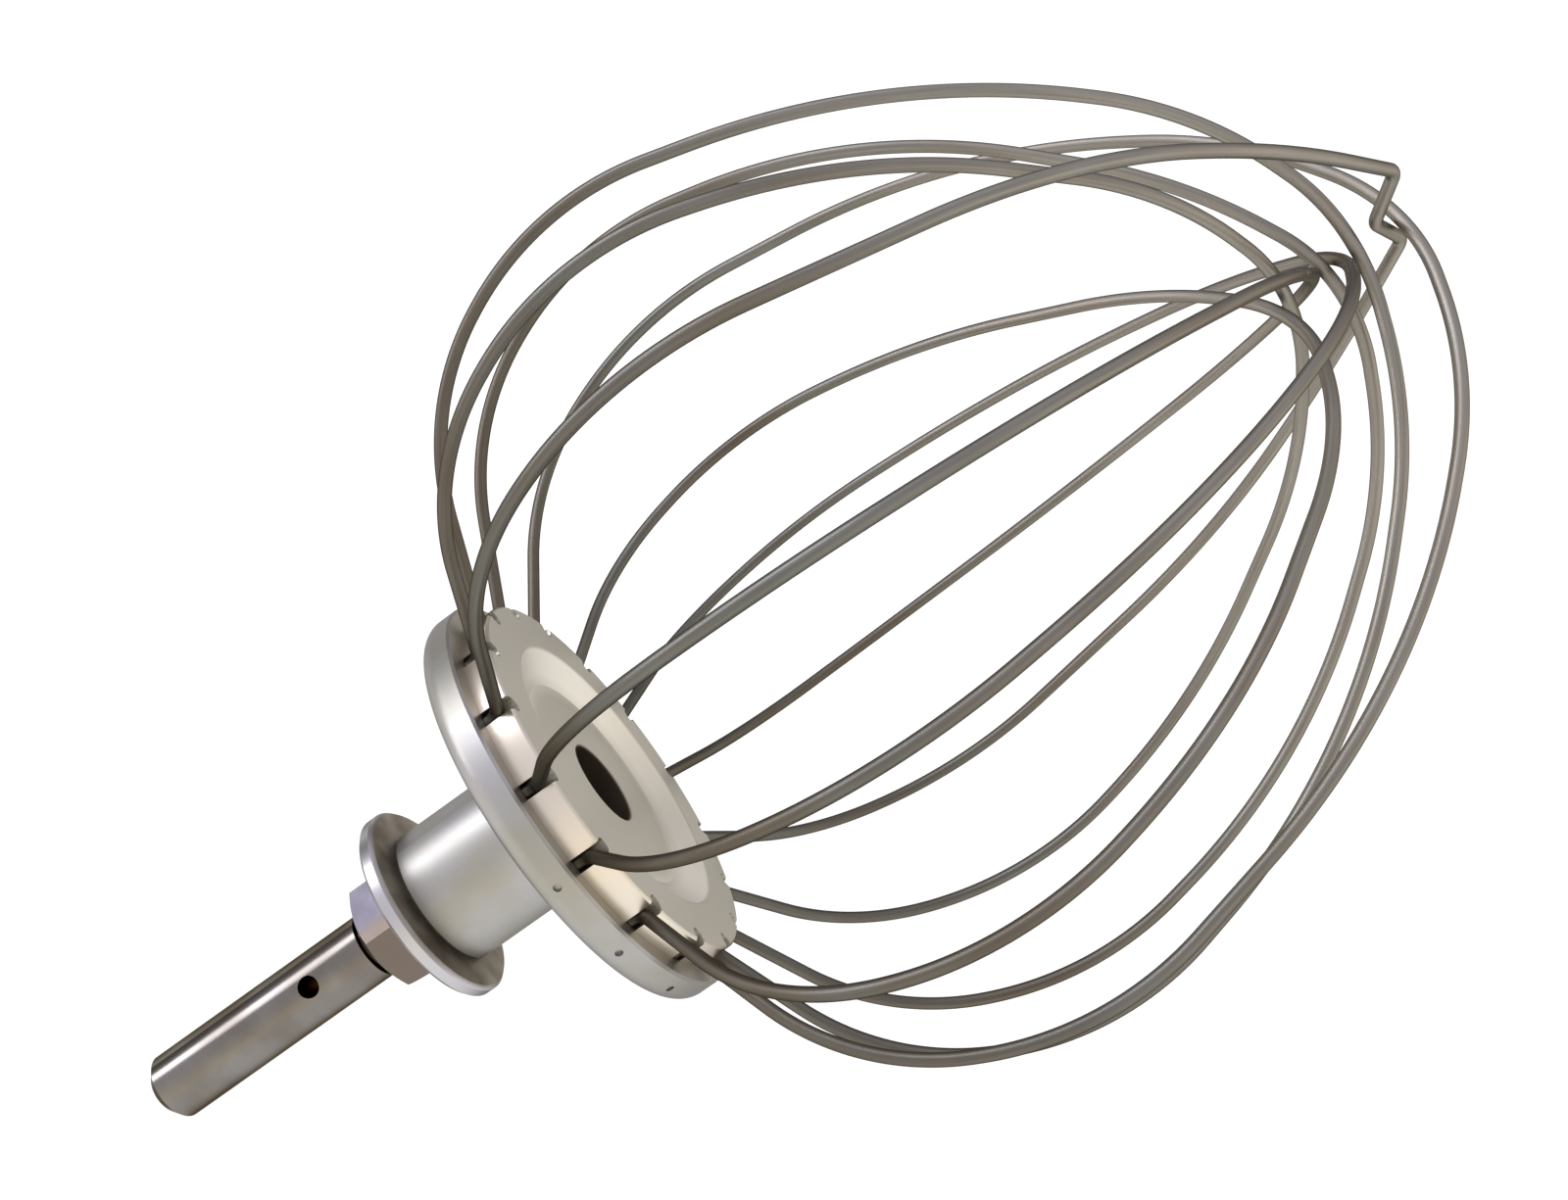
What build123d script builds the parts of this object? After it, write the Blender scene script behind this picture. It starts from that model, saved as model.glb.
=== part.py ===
"""Balloon whisk of a stand mixer: wire loops staked into a turned hub on a drive shaft.

Every piece is modelled about the whisk's own axis, with the shaft's tip down and the
balloon up. Height 0 is the back face of the hub's flange. The finished whisk is then laid
down as it comes to rest, on the tip of its shaft and on two of its wires.
"""

import math
import os
from typing import NamedTuple

from build123d import *

# Drive shaft
shaft_diameter = 10.0
shaft_reach = 71.0  # from the flange's back face down to the tip
shaft_entry = 18.0  # length held inside the neck
tip_chamfer = 1.4
thread_step = 0.6  # depth that the threaded end is turned down by
thread_run_out = 1.8  # thread that shows below the nut
pin_hole_diameter = 3.2
pin_hole_below_thread = 7.8  # to the nearest edge of the hole
pin_hole_angle = 48.0

# Hub
neck_diameter = 20.6
neck_length = 21.6
neck_chamfer = 0.8
neck_root_chamfer = 1.2
flange_diameter = 62.6
flange_thickness = 5.4
flange_back_round = 2.6
ledge_width = 2.9  # of the flange, outside the rim
rim_height = 4.2
edge_break = 0.35
land_width = 6.9  # flat top of the rim
dish_slope_width = 5.0
dish_depth = 2.4
hub_bore_clearance = 1.1  # round the shaft
thread_clearance = 0.1

# Collar and lock nut
collar_diameter = 29.4
collar_thickness = 2.4
collar_chamfer = 0.5
nut_across_flats = 15.2
nut_height = 7.4
nut_corner_angle = 49.5
nut_face_diameter = 14.4  # flat left inside the turned corners
nut_chamfer_slope = 30.0

# Wire sockets round the hub
wire_diameter = 1.8
socket_count = 16
socket_inset = 1.1  # of the wires' centres from the outside of the rim
socket_floor = 1.6
socket_clearance = 0.15
stake_diameter = 1.1
stake_depth = 0.5
stake_height = 3.0
staked_sockets = (3, 4, 5)

# Balloon: corners of the bent wire, which the bends round off
exit_height = 7.2
exit_bend_radius = 2.4
low_corner_inset = 12.3
low_corner_height = 19.0
belly_height = 47.2
upper_corner_inset = 12.3
upper_corner_drop = 38.0
shoulder_radius = 24.9
shoulder_drop = 7.8
crown_radius = 5.8
first_crown = 118.0  # height of the innermost wire's crown
nick_half_width = 7.2
nick_depth = 3.8
nick_bend_radius = 2.0
nicked_shoulder_drop = 14.0
bend_share = 0.98  # part of each straight run that the bends at its ends take up
rest_samples = 400


class Loop(NamedTuple):
    """One wire as it was bent, from the socket it starts in to the socket it ends in."""

    start: int
    end: int
    over: float  # gap over the wire before it, where their crowns cross
    bellies: tuple  # radius of the start half and of the end half
    fullness: tuple  # how far each half stands out at its upper corner
    shift: float = 0.0  # of the crown, towards the start
    lean: float = 0.0  # turn of the loop about the whisk's axis
    nicked: bool = False


# From the innermost crown to the outermost: each wire passes over the one before it
loops = [
    Loop(4, 12, over=0.0, bellies=(66.5, 61.0), fullness=(2.0, 0.5), shift=4.5),
    Loop(0, 8, over=0.4, bellies=(65.0, 64.0), fullness=(0.5, 1.0), shift=-0.5, lean=0.5),
    Loop(2, 10, over=2.4, bellies=(65.5, 64.5), fullness=(-3.5, -1.0), shift=-3.5, lean=3.5),
    Loop(7, 14, over=0.4, bellies=(66.0, 67.0), fullness=(2.5, 1.0), shift=3.5),
    Loop(3, 11, over=0.3, bellies=(60.5, 69.0), fullness=(0.0, 0.5), shift=-3.0, lean=2.0),
    Loop(6, 15, over=0.3, bellies=(66.0, 67.5), fullness=(0.0, -0.5), shift=-2.5, lean=0.5),
    Loop(1, 9, over=5.3, bellies=(65.5, 63.0), fullness=(-4.0, -5.5), shift=2.5, nicked=True),
    Loop(5, 13, over=1.9, bellies=(66.0, 64.5), fullness=(-1.0, 2.0), shift=-1.0, lean=3.5),
]
resting_loops = (loops[1], loops[6])  # their end halves carry the balloon on the table
resting_side = 8.5 * 360.0 / socket_count  # between the end sockets of those two

# Values that follow from the sizes above
shaft_radius = shaft_diameter / 2
wire_radius = wire_diameter / 2
flange_radius = flange_diameter / 2
rim_radius = flange_radius - ledge_width
tail_radius = rim_radius - socket_inset
dish_radius = rim_radius - land_width
dish_floor_radius = dish_radius - dish_slope_width
hub_bore_radius = shaft_radius + hub_bore_clearance
thread_radius = shaft_radius - thread_step
socket_radius = wire_radius + socket_clearance
threaded_radius = thread_radius + thread_clearance
rim_top = flange_thickness + rim_height
collar_top = -neck_length
collar_bottom = collar_top - collar_thickness
nut_bottom = collar_bottom - nut_height
thread_start = nut_bottom - thread_run_out
shaft_end = collar_top + shaft_entry
socket_pitch = 360.0 / socket_count
crowns = [first_crown]
for inner, outer in zip(loops, loops[1:]):
    sunk = nick_depth if inner.nicked else 0.0
    crowns.append(crowns[-1] - sunk + wire_diameter + outer.over)


# Wire routes
def polar(radius, angle, height):
    """Point at a radius, angle and height about the whisk's axis."""
    turn = math.radians(angle)
    return Vector(radius * math.cos(turn), radius * math.sin(turn), height)


def half_corners(loop, socket, belly, fullness, shift):
    """Corners of one half of a loop, from its socket up to the shoulder."""
    seat = socket * socket_pitch
    side = seat + loop.lean
    crown = crowns[loops.index(loop)]
    drop = nicked_shoulder_drop if loop.nicked else shoulder_drop
    return [
        polar(tail_radius, seat, socket_floor + socket_clearance),
        polar(tail_radius, seat, exit_height),
        polar(belly - low_corner_inset, (seat + side) / 2, low_corner_height),
        polar(belly, side, belly_height),
        polar(belly - upper_corner_inset + fullness, side, crown - upper_corner_drop),
        polar(shoulder_radius + shift, side, crown - drop),
    ]


def crown_corners(loop):
    """Corners at the top of a loop, with the nick where the outer wire crosses."""
    half_width = nick_half_width if loop.nicked else crown_radius
    crown = crowns[loops.index(loop)]
    start_side = loop.start * socket_pitch + loop.lean
    end_side = loop.end * socket_pitch + loop.lean
    first = polar(half_width + loop.shift, start_side, crown)
    last = polar(half_width - loop.shift, end_side, crown)
    if not loop.nicked:
        return [first, last]
    return [first, polar(loop.shift, start_side, crown - nick_depth), last]


def loop_corners(loop):
    """All corners of a loop, from tail to tail."""
    rising = half_corners(loop, loop.start, loop.bellies[0], loop.fullness[0], loop.shift)
    falling = half_corners(loop, loop.end, loop.bellies[1], loop.fullness[1], -loop.shift)
    return rising + crown_corners(loop) + falling[::-1]


def bend_radii(loop, corners):
    """Radius of the bend at each corner.

    The tails leave their sockets in tight bends, and so does the nick. Elsewhere the bends at
    the two ends of a run share it out, so that one bend runs into the next.
    """
    runs = [after - before for before, after in zip(corners, corners[1:])]
    pulls = [min(run_in.length, run_out.length) for run_in, run_out in zip(runs, runs[1:])]
    middle = len(pulls) // 2
    tight = {0: exit_bend_radius, len(pulls) - 1: exit_bend_radius}
    if loop.nicked:
        tight.update({middle + side: nick_bend_radius for side in (-1, 0, 1)})
    for place, radius in tight.items():
        pulls[place] = radius
    radii = []
    for place, pull in enumerate(pulls):
        if place in tight:
            radii.append(tight[place])
            continue
        run_in, run_out = runs[place], runs[place + 1]
        reach_in = run_in.length * pull / (pulls[place - 1] + pull)
        reach_out = run_out.length * pull / (pull + pulls[place + 1])
        half_turn = math.radians(run_in.get_angle(run_out)) / 2
        radii.append(bend_share * min(reach_in, reach_out) / math.tan(half_turn))
    return radii


def loop_route(loop):
    """Centre line of a loop."""
    corners = loop_corners(loop)
    with BuildLine() as route:
        FilletPolyline(*corners, radius=bend_radii(loop, corners))
    return route.wire()


def ring_edges(turned, diameter, height):
    """Round edges of a turned piece at one diameter and height."""
    rounds = turned.edges().filter_by(GeomType.CIRCLE)
    at_height = rounds.filter_by(lambda edge: abs(edge.arc_center.Z - height) < 0.01)
    return at_height.filter_by(lambda edge: abs(edge.radius - diameter / 2) < 0.01)


# Drive shaft: a rod with a chamfered tip, an empty hole for the drive pin and a threaded inner end
with BuildPart() as drive_shaft:
    with BuildSketch(Plane.XY.offset(-shaft_reach)):
        Circle(shaft_radius)
    extrude(amount=shaft_reach + thread_start)
    chamfer(drive_shaft.edges().group_by(Axis.Z)[0], tip_chamfer)
    with BuildSketch(Plane.XY.offset(thread_start)):
        Circle(thread_radius)
    extrude(amount=shaft_end - thread_start)
    across = polar(1, pin_hole_angle, 0)
    pin_height = thread_start - pin_hole_below_thread - pin_hole_diameter / 2
    pin_plane = Plane((0, 0, pin_height), x_dir=(0, 0, 1), z_dir=across)
    with BuildSketch(pin_plane):
        Circle(pin_hole_diameter / 2)
    extrude(amount=shaft_diameter, both=True, mode=Mode.SUBTRACT)

# Lock nut: a hexagon with its outer corners turned off
with BuildPart() as lock_nut:
    with BuildSketch(Plane.XY.offset(nut_bottom)):
        RegularPolygon(nut_across_flats / 2, 6, major_radius=False, rotation=nut_corner_angle)
        Circle(threaded_radius, mode=Mode.SUBTRACT)
    extrude(amount=nut_height)
    nut_face_radius = nut_face_diameter / 2
    corner_rise = nut_face_radius * math.tan(math.radians(nut_chamfer_slope))
    with BuildSketch(Plane.XZ):
        with BuildLine():
            Polyline(
                (0, nut_bottom),
                (nut_face_radius, nut_bottom),
                (2 * nut_face_radius, nut_bottom + corner_rise),
                (2 * nut_face_radius, collar_bottom),
                (0, collar_bottom),
                close=True,
            )
        make_face()
    revolve(axis=Axis.Z, mode=Mode.INTERSECT)

# Collar: a thick washer between the nut and the neck
with BuildPart() as collar:
    with BuildSketch(Plane.XY.offset(collar_bottom)):
        Circle(collar_diameter / 2)
        Circle(threaded_radius, mode=Mode.SUBTRACT)
    extrude(amount=collar_thickness)
    for face_height in (collar_bottom, collar_top):
        chamfer(ring_edges(collar, collar_diameter, face_height), collar_chamfer)

# Hub: neck, flange and socket rim turned from one piece, with a slot and a socket for each wire end
with BuildPart() as hub:
    with BuildSketch(Plane.XZ):
        with BuildLine():
            Polyline(
                (hub_bore_radius, shaft_end),
                (threaded_radius, shaft_end),
                (threaded_radius, collar_top),
                (neck_diameter / 2, collar_top),
                (neck_diameter / 2, 0),
                (flange_radius, 0),
                (flange_radius, flange_thickness),
                (rim_radius, flange_thickness),
                (rim_radius, rim_top),
                (dish_radius, rim_top),
                (dish_floor_radius, rim_top - dish_depth),
                (hub_bore_radius, rim_top - dish_depth),
                close=True,
            )
        make_face()
    revolve(axis=Axis.Z)
    chamfer(ring_edges(hub, neck_diameter, collar_top), neck_chamfer)
    chamfer(ring_edges(hub, neck_diameter, 0), neck_root_chamfer)
    fillet(ring_edges(hub, flange_diameter, 0), flange_back_round)
    chamfer(ring_edges(hub, flange_diameter, flange_thickness), edge_break)
    chamfer(ring_edges(hub, 2 * rim_radius, rim_top), edge_break)
    chamfer(ring_edges(hub, 2 * hub_bore_radius, rim_top - dish_depth), edge_break)
    with BuildSketch(Plane.XY.offset(socket_floor)):
        with PolarLocations(tail_radius, socket_count):
            Circle(socket_radius)
    extrude(amount=rim_top, mode=Mode.SUBTRACT)
    with BuildSketch(Plane.XY.offset(flange_thickness)):
        slot_length = socket_inset + wire_radius
        with PolarLocations(tail_radius, socket_count):
            Rectangle(slot_length, 2 * socket_radius, align=(Align.MIN, Align.CENTER))
    extrude(amount=rim_top, mode=Mode.SUBTRACT)
    for socket in staked_sockets:
        outward = polar(1, socket * socket_pitch, 0)
        stake_floor = polar(flange_radius - stake_depth, socket * socket_pitch, stake_height)
        with BuildSketch(Plane(stake_floor, x_dir=(0, 0, 1), z_dir=outward)):
            Circle(stake_diameter / 2)
        extrude(amount=2 * stake_depth, mode=Mode.SUBTRACT)


# Wire loops
def wire_loop(loop):
    """One loop of round wire, bent along its route."""
    corners = loop_corners(loop)
    with BuildPart() as wire:
        with BuildLine():
            route = FilletPolyline(*corners, radius=bend_radii(loop, corners))
        with BuildSketch(Plane(route @ 0, z_dir=route % 0)):
            Circle(wire_radius)
        sweep()
    return wire.part


# Resting place: the tip's edge and the bellies of two wires touch the table
def lowest(points, up):
    """The point that lies furthest down."""
    return min(points, key=lambda point: point.dot(up))


def resting_plane():
    """Plane of the table under the whisk, with its X direction under the whisk's axis."""
    tip_edge = [polar(shaft_radius, step, tip_chamfer - shaft_reach) for step in range(360)]
    bellies = []
    for loop in resting_loops:
        route = loop_route(loop)
        bellies.append([route @ (0.5 + step / (2 * rest_samples)) for step in range(rest_samples)])
    up = -polar(1, resting_side, 0)
    for _ in range(12):
        tip = lowest(tip_edge, up)
        first, second = [lowest(belly, up) - up * wire_radius for belly in bellies]
        up = (first - tip).cross(second - tip).normalized()
        if up.dot(polar(1, resting_side, 0)) > 0:
            up = -up
    axis = Vector(0, 0, 1)
    return Plane(tip, x_dir=axis - up * axis.dot(up), z_dir=up)


# Lay the whisk down and centre it over the middle of the space it takes up
upright = {
    "drive_shaft": drive_shaft.part,
    "lock_nut": lock_nut.part,
    "collar": collar.part,
    "hub": hub.part,
}
for number, loop in enumerate(loops, start=1):
    upright[f"wire_loop_{number}"] = wire_loop(loop)
table = resting_plane()
laid = {name: table.to_local_coords(piece) for name, piece in upright.items()}
space = Compound(list(laid.values())).bounding_box()
shift = Location((-space.center().X, -space.center().Y, -space.min.Z))

os.makedirs("parts", exist_ok=True)
for name, piece in laid.items():
    placed = piece.moved(shift)
    placed.label = name
    export_step(placed, f"parts/{name}.step")
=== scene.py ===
"""Looks of the balloon whisk: drawn wire loops in a turned hub, lying on a pale table."""

import math
from typing import NamedTuple

import bpy
from mathutils import Euler, Matrix, Vector


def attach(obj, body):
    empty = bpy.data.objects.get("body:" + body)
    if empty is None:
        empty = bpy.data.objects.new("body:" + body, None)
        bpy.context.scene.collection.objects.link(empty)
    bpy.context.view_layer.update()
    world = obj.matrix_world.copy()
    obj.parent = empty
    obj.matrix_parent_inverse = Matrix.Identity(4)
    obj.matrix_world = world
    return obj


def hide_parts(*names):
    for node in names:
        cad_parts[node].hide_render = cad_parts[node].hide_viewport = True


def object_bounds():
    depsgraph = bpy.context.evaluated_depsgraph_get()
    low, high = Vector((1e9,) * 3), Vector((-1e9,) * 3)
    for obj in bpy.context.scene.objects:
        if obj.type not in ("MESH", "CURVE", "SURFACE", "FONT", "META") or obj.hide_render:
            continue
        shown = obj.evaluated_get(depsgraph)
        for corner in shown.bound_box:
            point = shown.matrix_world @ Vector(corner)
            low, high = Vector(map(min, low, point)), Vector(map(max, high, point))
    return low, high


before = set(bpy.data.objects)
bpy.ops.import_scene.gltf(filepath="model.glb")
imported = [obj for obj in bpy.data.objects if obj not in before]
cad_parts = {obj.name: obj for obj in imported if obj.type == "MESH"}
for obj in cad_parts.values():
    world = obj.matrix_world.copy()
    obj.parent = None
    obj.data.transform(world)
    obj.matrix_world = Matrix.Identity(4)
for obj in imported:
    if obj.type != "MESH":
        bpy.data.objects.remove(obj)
cad_low, cad_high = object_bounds()
mm = 0.001

# Where the whisk lies. Its own frame is in millimetres, with its axis as Z and the flange's back face at 0
hub_spot = Vector((-30.36981, 0.58154, 36.10353)) * mm
axis_rise = math.radians(27.04822)
axis_roll = math.radians(165.99844)
whisk_place = (
    Matrix.Translation(hub_spot)
    @ Matrix.Rotation(math.pi / 2 - axis_rise, 4, "Y")
    @ Matrix.Rotation(axis_roll, 4, "Z")
    @ Matrix.Scale(mm, 4)
)

# Turned pieces, in millimetres
shaft_tip = -71.0
shaft_radius = 5.0
collar_radius = 14.7
flange_thickness = 5.4
rim_radius = 28.4
rim_top = 9.6
dish_radius = 21.5
dish_floor_radius = 16.5
bore_radius = 6.1

# Wire sockets and the corners of the bent wire, in millimetres
wire_diameter = 1.8
socket_count = 16
socket_pitch = 360.0 / socket_count
slot_half_width = 1.05
socket_floor = 1.6
tail_radius = 27.3
tail_height = 1.75
exit_height = 7.2
exit_bend_radius = 2.4
low_corner_inset = 12.3
low_corner_height = 19.0
belly_height = 47.2
upper_corner_inset = 12.3
upper_corner_drop = 38.0
shoulder_radius = 24.9
shoulder_drop = 7.8
crown_radius = 5.8
first_crown = 118.0
nick_half_width = 7.2
nick_depth = 3.8
nick_bend_radius = 2.0
nicked_shoulder_drop = 14.0
bend_share = 0.98

# Fineness of the swept wire
bend_steps = 28
wire_sides = 20


class Loop(NamedTuple):
    """One wire as it was bent, from the socket it starts in to the socket it ends in, in millimetres."""

    start: int
    end: int
    over: float  # gap left above the wire that it crosses
    bellies: tuple  # radius of each half at the belly
    fullness: tuple  # how far each half's upper corner stands out
    shift: float = 0.0  # how far its crown sits towards the start
    lean: float = 0.0  # degrees that both halves lean round the axis
    nicked: bool = False  # whether its crown is pressed down where the outer wire crosses


loops = [
    Loop(4, 12, over=0.0, bellies=(66.5, 61.0), fullness=(2.0, 0.5), shift=4.5),
    Loop(0, 8, over=0.4, bellies=(65.0, 64.0), fullness=(0.5, 1.0), shift=-0.5, lean=0.5),
    Loop(2, 10, over=2.4, bellies=(65.5, 64.5), fullness=(-3.5, -1.0), shift=-3.5, lean=3.5),
    Loop(7, 14, over=0.4, bellies=(66.0, 67.0), fullness=(2.5, 1.0), shift=3.5),
    Loop(3, 11, over=0.3, bellies=(60.5, 69.0), fullness=(0.0, 0.5), shift=-3.0, lean=2.0),
    Loop(6, 15, over=0.3, bellies=(66.0, 67.5), fullness=(0.0, -0.5), shift=-2.5, lean=0.5),
    Loop(1, 9, over=5.3, bellies=(65.5, 63.0), fullness=(-4.0, -5.5), shift=2.5, nicked=True),
    Loop(5, 13, over=1.9, bellies=(66.0, 64.5), fullness=(-1.0, 2.0), shift=-1.0, lean=3.5),
]
crowns = [first_crown]
for inner, outer in zip(loops, loops[1:]):
    sunk = nick_depth if inner.nicked else 0.0
    crowns.append(crowns[-1] - sunk + wire_diameter + outer.over)


def linear(hex_colour):
    """sRGB hex value as linear colour with full alpha."""
    shown = [int(hex_colour[i : i + 2], 16) / 255 for i in (0, 2, 4)]
    return [c / 12.92 if c <= 0.04045 else ((c + 0.055) / 1.055) ** 2.4 for c in shown] + [1.0]


def add(tree, kind, inputs=(), **settings):
    """Add a node with its settings; each input is a value or another node's output."""
    node = tree.nodes.new(kind)
    for name, value in settings.items():
        setattr(node, name, value)
    for socket, value in dict(inputs).items():
        if isinstance(value, bpy.types.NodeSocket):
            tree.links.new(value, node.inputs[socket])
        else:
            node.inputs[socket].default_value = value
    return node


def new_finish(name, edge):
    """A metal shader in a new material; edge is how dark it turns where the eye grazes it."""
    material = bpy.data.materials.new(name)
    material.use_nodes = True
    tree = material.node_tree
    tree.nodes.clear()
    metal = add(tree, "ShaderNodeBsdfPrincipled", {"Metallic": 1.0, "Specular Tint": linear(edge)})
    add(tree, "ShaderNodeOutputMaterial", {"Surface": metal.outputs["BSDF"]})
    return material, tree, metal


def whisk_coordinates(tree):
    """Millimetres in the whisk's own frame, and the distance from its axis."""
    place, turn, size = whisk_place.inverted().decompose()
    spot = add(tree, "ShaderNodeTexCoord")
    turned = add(
        tree,
        "ShaderNodeMapping",
        {"Vector": spot.outputs["Object"], "Location": place, "Rotation": turn.to_euler(), "Scale": size},
    )
    flat = add(tree, "ShaderNodeVectorMath", {0: turned.outputs[0], 1: (1, 1, 0)}, operation="MULTIPLY")
    radius = add(tree, "ShaderNodeVectorMath", {0: flat.outputs[0]}, operation="LENGTH")
    parts = add(tree, "ShaderNodeSeparateXYZ", {0: turned.outputs[0]})
    return turned.outputs[0], parts.outputs, radius.outputs["Value"]


def overlay(tree, share, colour, tone_layer):
    """Colour with a layer of another colour over it, where the share is 1."""
    return add(tree, "ShaderNodeMix", {0: share, 6: colour, 7: linear(tone_layer)}, data_type="RGBA").outputs[2]


def patches(tree, spot, size, clean, dirty):
    """Pattern, and colour that wanders between clean and dirty metal, in patches of a size in millimetres."""
    noise = add(tree, "ShaderNodeTexNoise", {"Vector": spot, "Scale": 1 / size, "Detail": 4.0})
    spread = add(
        tree, "ShaderNodeMapRange", {"Value": noise.outputs["Fac"], "From Min": 0.36, "From Max": 0.64}
    )
    return noise.outputs["Fac"], overlay(tree, spread.outputs[0], linear(clean), dirty)


def dress(tree, metal, colour, rough, relief, depth):
    """Give the metal its colour, its roughness and a fine relief of a depth in millimetres."""
    relief_strength = 0.1
    bump = add(
        tree, "ShaderNodeBump", {"Height": relief, "Strength": relief_strength, "Distance": depth * mm}
    )
    tree.links.new(colour, metal.inputs["Base Color"])
    tree.links.new(rough, metal.inputs["Roughness"])
    tree.links.new(bump.outputs[0], metal.inputs["Normal"])


def drawn_steel_wire():
    """Hard-drawn steel wire, greyed and browned by years of use, with fine lines that run along it."""
    material, tree, metal = new_finish("drawn_steel_wire", "4A453E")
    spot, parts, _ = whisk_coordinates(tree)
    ring = add(tree, "ShaderNodeAttribute", attribute_name="ring")
    along = add(tree, "ShaderNodeAttribute", attribute_name="along")
    lengthwise = add(tree, "ShaderNodeCombineXYZ", {"Z": along.outputs["Fac"]})
    # Die lines are about 0.05 mm apart; drawn coarser round the wire, and long along it, to show
    line_width = 0.4
    line_length = 20.0
    round_wire, along_wire = (
        add(tree, "ShaderNodeVectorMath", {0: place, 1: (1 / size,) * 3}, operation="MULTIPLY").outputs[0]
        for place, size in ((ring.outputs["Vector"], line_width), (lengthwise.outputs[0], line_length))
    )
    line_spot = add(tree, "ShaderNodeVectorMath", {0: round_wire, 1: along_wire}, operation="ADD")
    lines = add(tree, "ShaderNodeTexNoise", {"Vector": line_spot.outputs[0], "Scale": 1.0, "Detail": 2.0})
    tarnish_length = 30.0
    tarnish, metal_tone = patches(tree, spot, tarnish_length, "7A7972", "6F675B")
    # The crown half is painted paler, a painted sheen
    below_crown = 8.0
    painted_sheen = add(
        tree,
        "ShaderNodeMapRange",
        {
            "Value": parts["Z"],
            "From Min": belly_height,
            "From Max": first_crown - below_crown,
            "To Max": 0.5,
        },
    )
    metal_tone = overlay(tree, painted_sheen.outputs[0], metal_tone, "C2BBAF")
    lined = add(
        tree,
        "ShaderNodeMapRange",
        {"Value": lines.outputs["Fac"], "From Min": 0.35, "From Max": 0.7, "To Max": 0.3},
    )
    colour = overlay(tree, lined.outputs[0], metal_tone, "45423A")
    rough = add(tree, "ShaderNodeMapRange", {"Value": tarnish, "To Min": 0.38, "To Max": 0.52})
    dress(tree, metal, colour, rough.outputs[0], lines.outputs["Fac"], depth=0.01)
    return material


def turned_aluminium():
    """Aluminium turned on a lathe and left satin: fine rings, rim and dish painted pale as a painted sheen,
    slots and bore darkened with painted shade.
    """
    material, tree, metal = new_finish("turned_aluminium", "A09EA2")
    spot, parts, radius = whisk_coordinates(tree)
    profile = add(tree, "ShaderNodeCombineXYZ", {"X": radius, "Y": parts["Z"]})
    # The tool's feed leaves rings about 0.1 mm apart; drawn coarser to show
    ring_pitch = 0.5
    rings = add(
        tree, "ShaderNodeTexNoise", {"Vector": profile.outputs[0], "Scale": 1 / ring_pitch, "Detail": 2.0}
    )
    stain_size = 9.0
    stains, satin = patches(tree, spot, stain_size, "B4B2B0", "ADABA0")
    # Distance across to the middle of the nearest slot
    angle = add(tree, "ShaderNodeMath", {0: parts["Y"], 1: parts["X"]}, operation="ARCTAN2")
    wrapped = add(tree, "ShaderNodeMath", {0: angle.outputs[0], 1: socket_count / 2}, operation="MULTIPLY")
    swing = add(tree, "ShaderNodeMath", {0: wrapped.outputs[0]}, operation="SINE")
    away = add(tree, "ShaderNodeMath", {0: swing.outputs[0]}, operation="ABSOLUTE")
    turns = add(tree, "ShaderNodeMath", {0: away.outputs[0], 1: 2 / socket_count}, operation="MULTIPLY")
    across = add(tree, "ShaderNodeMath", {0: turns.outputs[0], 1: radius}, operation="MULTIPLY")
    # Each share fades in between two sizes in millimetres: where it is none, and where it is full
    fades = {
        "raised": (parts["Z"], flange_thickness - 0.05, flange_thickness + 0.15),
        "outer": (radius, rim_radius - 0.3, rim_radius - 0.1),
        "sunk": (parts["Z"], rim_top - 0.05, rim_top - 0.2),
        "sloped": (radius, dish_floor_radius - 2.0, dish_floor_radius + 1.5),
        "dished": (radius, dish_radius + 0.6, dish_radius + 0.3),
        "slotted": (across.outputs[0], slot_half_width + 0.1, slot_half_width + 0.02),
        "rimmed": (radius, rim_radius + 0.05, rim_radius - 0.2),
        "socketed": (radius, tail_radius - 1.4, tail_radius - 0.9),
        "deep": (parts["Z"], flange_thickness + 3.2, flange_thickness + 0.8),
        "floored": (parts["Z"], socket_floor - 0.4, socket_floor - 0.1),
        "bored": (radius, bore_radius + 0.4, bore_radius + 0.1),
    }
    share = {
        name: add(tree, "ShaderNodeMapRange", {"Value": value, "From Min": none, "From Max": full}).outputs[0]
        for name, (value, none, full) in fades.items()
    }
    # Painted shade darkens the slots low down, but stops at the floor of the sockets, above the flange's back
    for name, first, others in (
        ("wall", "raised", ("outer",)),
        ("slope", "sunk", ("sloped", "dished", "raised")),
        ("slot_shade", "slotted", ("rimmed", "socketed", "deep", "floored")),
    ):
        share[name] = share[first]
        for other in others:
            both = add(tree, "ShaderNodeMath", {0: share[name], 1: share[other]}, operation="MULTIPLY")
            share[name] = both.outputs[0]
    # The rim and dish are painted pale, a painted sheen, most of all the wall round the rim, and the slope of
    # the dish carries a painted highlight
    painted_sheen = overlay(tree, share["raised"], satin, "D4CFC0")
    painted_sheen = overlay(tree, share["wall"], painted_sheen, "E8DECD")
    painted_sheen = overlay(tree, share["slope"], painted_sheen, "F6F1E4")
    # Painted shade darkens the low slots and the bore
    painted_shade = add(tree, "ShaderNodeMath", {0: share["slot_shade"], 1: share["bored"]}, operation="MAXIMUM")
    colour = overlay(tree, painted_shade.outputs[0], painted_sheen, "51473C")
    wall_rough = 0.3
    shade_rough = 0.7
    ground = add(tree, "ShaderNodeMapRange", {"Value": stains, "To Min": 0.34, "To Max": 0.5})
    smooth = add(
        tree, "ShaderNodeMix", {0: share["wall"], 2: ground.outputs[0], 3: wall_rough}, data_type="FLOAT"
    )
    rough = add(
        tree, "ShaderNodeMix", {0: painted_shade.outputs[0], 2: smooth.outputs[0], 3: shade_rough}, data_type="FLOAT"
    )
    dress(tree, metal, colour, rough.outputs[0], rings.outputs["Fac"], depth=0.03)
    return material


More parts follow.
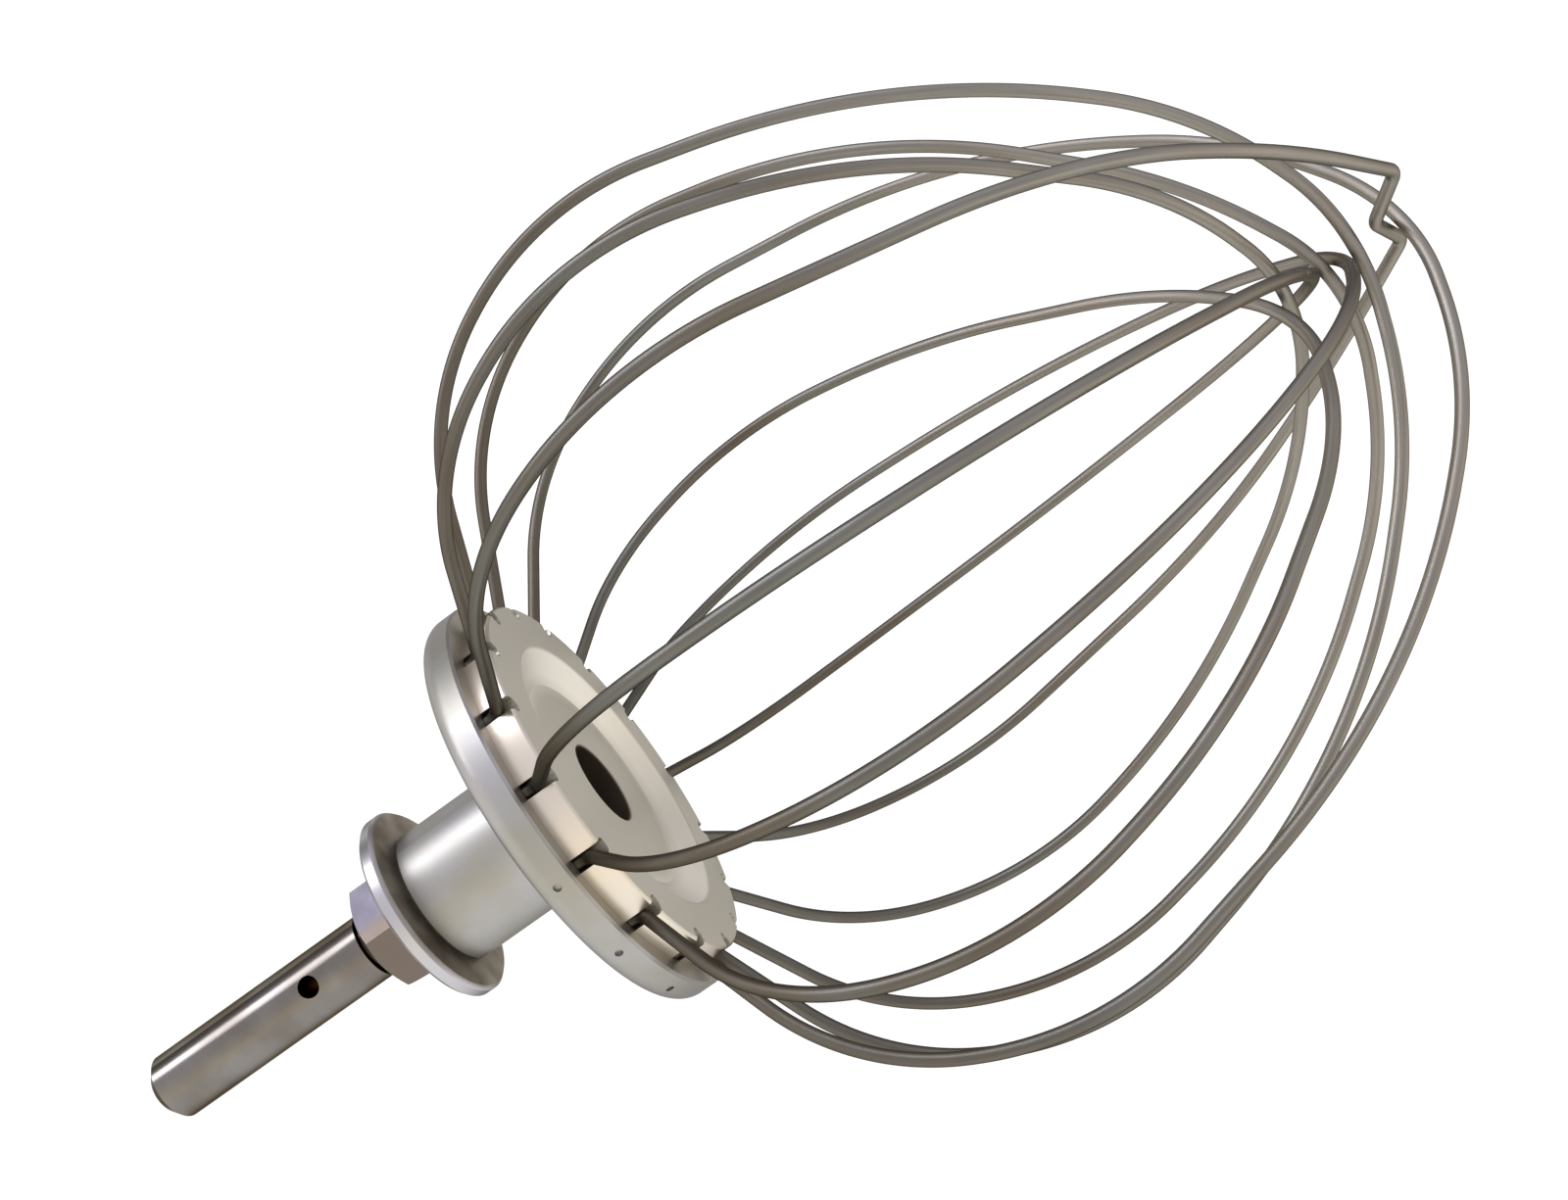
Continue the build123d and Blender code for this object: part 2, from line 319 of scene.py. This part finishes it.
def ground_steel():
    """Ground steel bar, rubbed grey in its socket, with painted shade in the pin hole and at the thread."""
    material, tree, metal = new_finish("ground_steel", "8A857C")
    spot, parts, radius = whisk_coordinates(tree)
    profile = add(tree, "ShaderNodeCombineXYZ", {"X": radius, "Y": parts["Z"]})
    # Grinding leaves rings about 0.1 mm apart; drawn coarser to show
    ring_pitch = 0.6
    rings = add(
        tree, "ShaderNodeTexNoise", {"Vector": profile.outputs[0], "Scale": 1 / ring_pitch, "Detail": 2.0}
    )
    stain_size = 8.0
    stains, metal_tone = patches(tree, spot, stain_size, "88847F", "7A746D")
    # Painted shade lies below the bar's surface, but not on the chamfer at its tip
    below = add(
        tree,
        "ShaderNodeMapRange",
        {"Value": radius, "From Min": shaft_radius - 0.1, "From Max": shaft_radius - 0.4},
    )
    above_tip = add(
        tree,
        "ShaderNodeMapRange",
        {"Value": parts["Z"], "From Min": shaft_tip + 1.6, "From Max": shaft_tip + 2.0},
    )
    hollow_shade = add(
        tree, "ShaderNodeMath", {0: below.outputs[0], 1: above_tip.outputs[0]}, operation="MULTIPLY"
    )
    colour = overlay(tree, hollow_shade.outputs[0], metal_tone, "40372F")
    rough = add(tree, "ShaderNodeMapRange", {"Value": stains, "To Min": 0.15, "To Max": 0.24})
    dress(tree, metal, colour, rough.outputs[0], rings.outputs["Fac"], depth=0.02)
    return material


def plated_steel():
    """Bluish zinc plate on the nut, dulled, with painted shade that browns one side."""
    material, tree, metal = new_finish("plated_steel", "B0ACB0")
    spot, parts, _ = whisk_coordinates(tree)
    stain_size = 5.0
    stains, plate = patches(tree, spot, stain_size, "777580", "6D6A72")
    # Painted shade browns the side of the nut towards +Y in the whisk's own frame
    shade_side_start = 3.5
    shade_side_full = 5.5
    tone_layer = add(
        tree, "ShaderNodeMapRange", {"Value": parts["Y"], "From Min": shade_side_start, "From Max": shade_side_full}
    )
    colour = overlay(tree, tone_layer.outputs[0], plate, "7C7168")
    rough = add(tree, "ShaderNodeMapRange", {"Value": stains, "To Min": 0.36, "To Max": 0.5})
    dress(tree, metal, colour, rough.outputs[0], stains, depth=0.03)
    return material


def steel_with_shaded_faces():
    """Steel washer with a bright worn rim and faces browned darker by painted shade."""
    material, tree, metal = new_finish("steel_with_shaded_faces", "86827C")
    spot, _, radius = whisk_coordinates(tree)
    stain_size = 6.0
    # Painted shade browns the faces in patches; the rim keeps the bright steel
    stains, face_shade = patches(tree, spot, stain_size, "B2ABA0", "8C847A")
    rim = add(
        tree,
        "ShaderNodeMapRange",
        {"Value": radius, "From Min": collar_radius - 0.55, "From Max": collar_radius - 0.1},
    )
    colour = overlay(tree, rim.outputs[0], face_shade, "C6C4C6")
    rough = add(tree, "ShaderNodeMapRange", {"Value": rim.outputs[0], "To Min": 0.5, "To Max": 0.28})
    dress(tree, metal, colour, rough.outputs[0], stains, depth=0.05)
    return material


# Wire loops: corners first, then one node tree bends and sweeps them all
def polar(radius, angle, height):
    """Point at a radius, angle and height about the whisk's axis."""
    turn = math.radians(angle)
    return Vector((radius * math.cos(turn), radius * math.sin(turn), height))


def half_corners(loop, crown, socket, belly, fullness, shift):
    """Corners of one half of a loop, from its socket up to the shoulder."""
    seat = socket * socket_pitch
    side = seat + loop.lean
    drop = nicked_shoulder_drop if loop.nicked else shoulder_drop
    return [
        polar(tail_radius, seat, tail_height),
        polar(tail_radius, seat, exit_height),
        polar(belly - low_corner_inset, (seat + side) / 2, low_corner_height),
        polar(belly, side, belly_height),
        polar(belly - upper_corner_inset + fullness, side, crown - upper_corner_drop),
        polar(shoulder_radius + shift, side, crown - drop),
    ]


def loop_corners(loop, crown):
    """All corners of a loop, from tail to tail, with the nick where the outer wire crosses."""
    half_width = nick_half_width if loop.nicked else crown_radius
    start_side = loop.start * socket_pitch + loop.lean
    end_side = loop.end * socket_pitch + loop.lean
    top = [polar(half_width + loop.shift, start_side, crown)]
    if loop.nicked:
        top.append(polar(loop.shift, start_side, crown - nick_depth))
    top.append(polar(half_width - loop.shift, end_side, crown))
    rising = half_corners(loop, crown, loop.start, loop.bellies[0], loop.fullness[0], loop.shift)
    falling = half_corners(loop, crown, loop.end, loop.bellies[1], loop.fullness[1], -loop.shift)
    return rising + top + falling[::-1]


def bend_radii(loop, corners):
    """Radius of the bend at each corner: tight at the tails and the nick, and running on elsewhere."""
    runs = [after - before for before, after in zip(corners, corners[1:])]
    pulls = [min(run_in.length, run_out.length) for run_in, run_out in zip(runs, runs[1:])]
    middle = len(pulls) // 2
    tight = {0: exit_bend_radius, len(pulls) - 1: exit_bend_radius}
    if loop.nicked:
        tight.update({middle + side: nick_bend_radius for side in (-1, 0, 1)})
    for place, radius in tight.items():
        pulls[place] = radius
    radii = []
    for place, pull in enumerate(pulls):
        if place in tight:
            radii.append(tight[place])
            continue
        run_in, run_out = runs[place], runs[place + 1]
        reach_in = run_in.length * pull / (pulls[place - 1] + pull)
        reach_out = run_out.length * pull / (pull + pulls[place + 1])
        radii.append(bend_share * min(reach_in, reach_out) / math.tan(run_in.angle(run_out) / 2))
    return [0.0] + radii + [0.0]


def wire_sweep():
    """Node tree that rounds a row of corners and sweeps round wire along it."""
    tree = bpy.data.node_groups.new("wire_sweep", "GeometryNodeTree")
    for name, kind in (
        ("Corners", "NodeSocketGeometry"),
        ("Wire Diameter", "NodeSocketFloat"),
        ("Bend Steps", "NodeSocketInt"),
        ("Wire Sides", "NodeSocketInt"),
        ("Finish", "NodeSocketMaterial"),
    ):
        tree.interface.new_socket(name, in_out="INPUT", socket_type=kind)
    tree.interface.new_socket("Wire", in_out="OUTPUT", socket_type="NodeSocketGeometry")
    given = add(tree, "NodeGroupInput").outputs
    path = add(tree, "GeometryNodeMeshToCurve", {"Mesh": given["Corners"]})
    bend = add(tree, "GeometryNodeInputNamedAttribute", {"Name": "bend"}, data_type="FLOAT")
    bent = add(
        tree,
        "GeometryNodeFilletCurve",
        {"Curve": path.outputs[0], "Count": given["Bend Steps"], "Radius": bend.outputs["Attribute"]},
        mode="POLY",
    )
    length = add(tree, "GeometryNodeSplineParameter")
    length_mm = add(tree, "ShaderNodeMath", {0: length.outputs["Length"], 1: 1 / mm}, operation="MULTIPLY")
    measured = add(
        tree,
        "GeometryNodeStoreNamedAttribute",
        {"Geometry": bent.outputs[0], "Name": "along", "Value": length_mm.outputs[0]},
        data_type="FLOAT",
        domain="POINT",
    )
    half = add(tree, "ShaderNodeMath", {0: given["Wire Diameter"], 1: 0.5}, operation="MULTIPLY")
    section = add(
        tree,
        "GeometryNodeCurvePrimitiveCircle",
        {"Resolution": given["Wire Sides"], "Radius": half.outputs[0]},
    )
    place = add(tree, "GeometryNodeInputPosition")
    place_mm = add(
        tree, "ShaderNodeVectorMath", {0: place.outputs[0], 1: (1 / mm,) * 3}, operation="MULTIPLY"
    )
    marked = add(
        tree,
        "GeometryNodeStoreNamedAttribute",
        {"Geometry": section.outputs[0], "Name": "ring", "Value": place_mm.outputs[0]},
        data_type="FLOAT_VECTOR",
        domain="POINT",
    )
    swept = add(
        tree,
        "GeometryNodeCurveToMesh",
        {"Curve": measured.outputs[0], "Profile Curve": marked.outputs[0], "Fill Caps": True},
    )
    whole = add(tree, "GeometryNodeRealizeInstances", {"Geometry": swept.outputs[0]})
    finished = add(
        tree, "GeometryNodeSetMaterial", {"Geometry": whole.outputs[0], "Material": given["Finish"]}
    )
    add(tree, "NodeGroupOutput", {"Wire": finished.outputs[0]})
    return tree


def make_wire(number, loop, crown, tree, finish):
    """One wire loop as a plain mesh in the place of its CAD solid."""
    corners = loop_corners(loop, crown)
    mesh = bpy.data.meshes.new(f"whisk_wire_{number}")
    links = [(i, i + 1) for i in range(len(corners) - 1)]
    mesh.from_pydata([whisk_place @ corner for corner in corners], links, [])
    bends = mesh.attributes.new("bend", "FLOAT", "POINT")
    bends.data.foreach_set("value", [radius * mm for radius in bend_radii(loop, corners)])
    wire = bpy.data.objects.new(f"whisk_wire_{number}", mesh)
    bpy.context.scene.collection.objects.link(wire)
    sweep = wire.modifiers.new("sweep", "NODES")
    sweep.node_group = tree
    sizes = {
        "Wire Diameter": wire_diameter * mm,
        "Bend Steps": bend_steps,
        "Wire Sides": wire_sides,
        "Finish": finish,
    }
    for item in tree.interface.items_tree:
        if item.name in sizes:
            sweep[item.identifier] = sizes[item.name]
    evaluated = wire.evaluated_get(bpy.context.evaluated_depsgraph_get())
    swept = bpy.data.meshes.new_from_object(evaluated)
    swept.shade_smooth()
    wire.modifiers.remove(sweep)
    wire.data = swept
    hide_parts(f"wire_loop_{number}")
    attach(wire, "root")


wire_finish = drawn_steel_wire()
sweep_tree = wire_sweep()
for number, (loop, crown) in enumerate(zip(loops, crowns), start=1):
    make_wire(number, loop, crown, sweep_tree, wire_finish)

for node, finish in {
    "hub": turned_aluminium(),
    "drive_shaft": ground_steel(),
    "lock_nut": plated_steel(),
    "collar": steel_with_shaded_faces(),
}.items():
    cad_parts[node].material_slots[0].material = finish

# Table: a pale matt sheet that shows white to the eye and in the metal
glow_share = 0.8
glow_strength = 1.2
table_reach = 3.0
paper = bpy.data.materials.new("white_paper")
paper.use_nodes = True
paper_tree = paper.node_tree
paper_tree.nodes.clear()
sheet = add(paper_tree, "ShaderNodeBsdfDiffuse", {"Color": linear("EFEEEB")})
glow = add(paper_tree, "ShaderNodeEmission", {"Color": linear("FFFFFF"), "Strength": glow_strength})
ray = add(paper_tree, "ShaderNodeLightPath")
seen = ray.outputs["Is Camera Ray"]
for kind in ("Is Glossy Ray", "Is Transmission Ray"):
    either = add(paper_tree, "ShaderNodeMath", {0: seen, 1: ray.outputs[kind]}, operation="MAXIMUM")
    seen = either.outputs[0]
glowing = add(paper_tree, "ShaderNodeMath", {0: seen, 1: glow_share}, operation="MULTIPLY")
white = add(
    paper_tree, "ShaderNodeMixShader", {0: glowing.outputs[0], 1: sheet.outputs[0], 2: glow.outputs[0]}
)
add(paper_tree, "ShaderNodeOutputMaterial", {"Surface": white.outputs[0]})
table_mesh = bpy.data.meshes.new("table")
table_corners = [(x * table_reach, y * table_reach, 0) for x, y in ((-1, -1), (1, -1), (1, 1), (-1, 1))]
table_mesh.from_pydata(table_corners, [], [(0, 1, 2, 3)])
table = bpy.data.objects.new("table", table_mesh)
bpy.context.scene.collection.objects.link(table)
table_mesh.materials.append(paper)

# Room: cool and pale overhead, warm towards the front, dim towards the back
room_strength = 1.2
ceiling_start, ceiling_full = 0.1, 0.7
back_start, back_full = -0.3, 0.7
world = bpy.data.worlds.new("soft_room")
world.use_nodes = True
bpy.context.scene.world = world
room = world.node_tree
room.nodes.clear()
look = add(room, "ShaderNodeTexCoord")
look_parts = add(room, "ShaderNodeSeparateXYZ", {0: look.outputs["Generated"]})
ceiling = add(
    room,
    "ShaderNodeMapRange",
    {"Value": look_parts.outputs["Z"], "From Min": ceiling_start, "From Max": ceiling_full},
    interpolation_type="SMOOTHSTEP",
)
back = add(
    room,
    "ShaderNodeMapRange",
    {"Value": look_parts.outputs["Y"], "From Min": back_start, "From Max": back_full},
    interpolation_type="SMOOTHSTEP",
)
walls = overlay(room, back.outputs[0], linear("FFF7EA"), "6A6763")
whole_room = overlay(room, ceiling.outputs[0], walls, "D0D0DA")
sky = add(room, "ShaderNodeBackground", {"Color": whole_room, "Strength": room_strength})
add(room, "ShaderNodeOutputWorld", {"Surface": sky.outputs[0]})


def soft_light(name, towards, distance, size, power, colour):
    """Soft box aimed at the middle of the whisk, with its long side along the whisk's axis."""
    lamp = bpy.data.lights.new(name, "AREA")
    lamp.shape = "RECTANGLE"
    lamp.size, lamp.size_y = size
    lamp.energy = power
    lamp.color = linear(colour)[:3]
    box = bpy.data.objects.new(name, lamp)
    facing = Vector(towards).normalized()
    axis = Vector((math.cos(axis_rise), 0, math.sin(axis_rise)))
    side = facing.cross(axis).normalized()
    turn = Matrix((side.cross(facing), side, facing)).transposed()
    box.matrix_world = Matrix.Translation((cad_low + cad_high) / 2 + facing * distance) @ turn.to_4x4()
    box.visible_camera = False
    bpy.context.scene.collection.objects.link(box)


# One long window, in metres and watts, that draws the white streak along the shaft and the neck
soft_light(
    "window",
    towards=(-0.590, 0.443, 0.674),
    distance=0.8,
    size=(1.1, 0.25),
    power=4.3,
    colour="F4F4FF",
)

# Camera at the viewing angle of the picture, 1600 by 1225
eye = bpy.data.cameras.new("eye")
eye.sensor_fit = "HORIZONTAL"
eye.sensor_width = 36.0
eye.lens = 36.446
eye.clip_start = 0.01
viewer = bpy.data.objects.new("eye", eye)
viewer.location = Vector((-48.927, -139.596, 211.917)) * mm
viewer.rotation_euler = Euler([math.radians(a) for a in (45.3048, 1.6833, -22.3179)])
bpy.context.scene.collection.objects.link(viewer)
bpy.context.scene.camera = viewer
bpy.context.scene.view_settings.view_transform = "Standard"
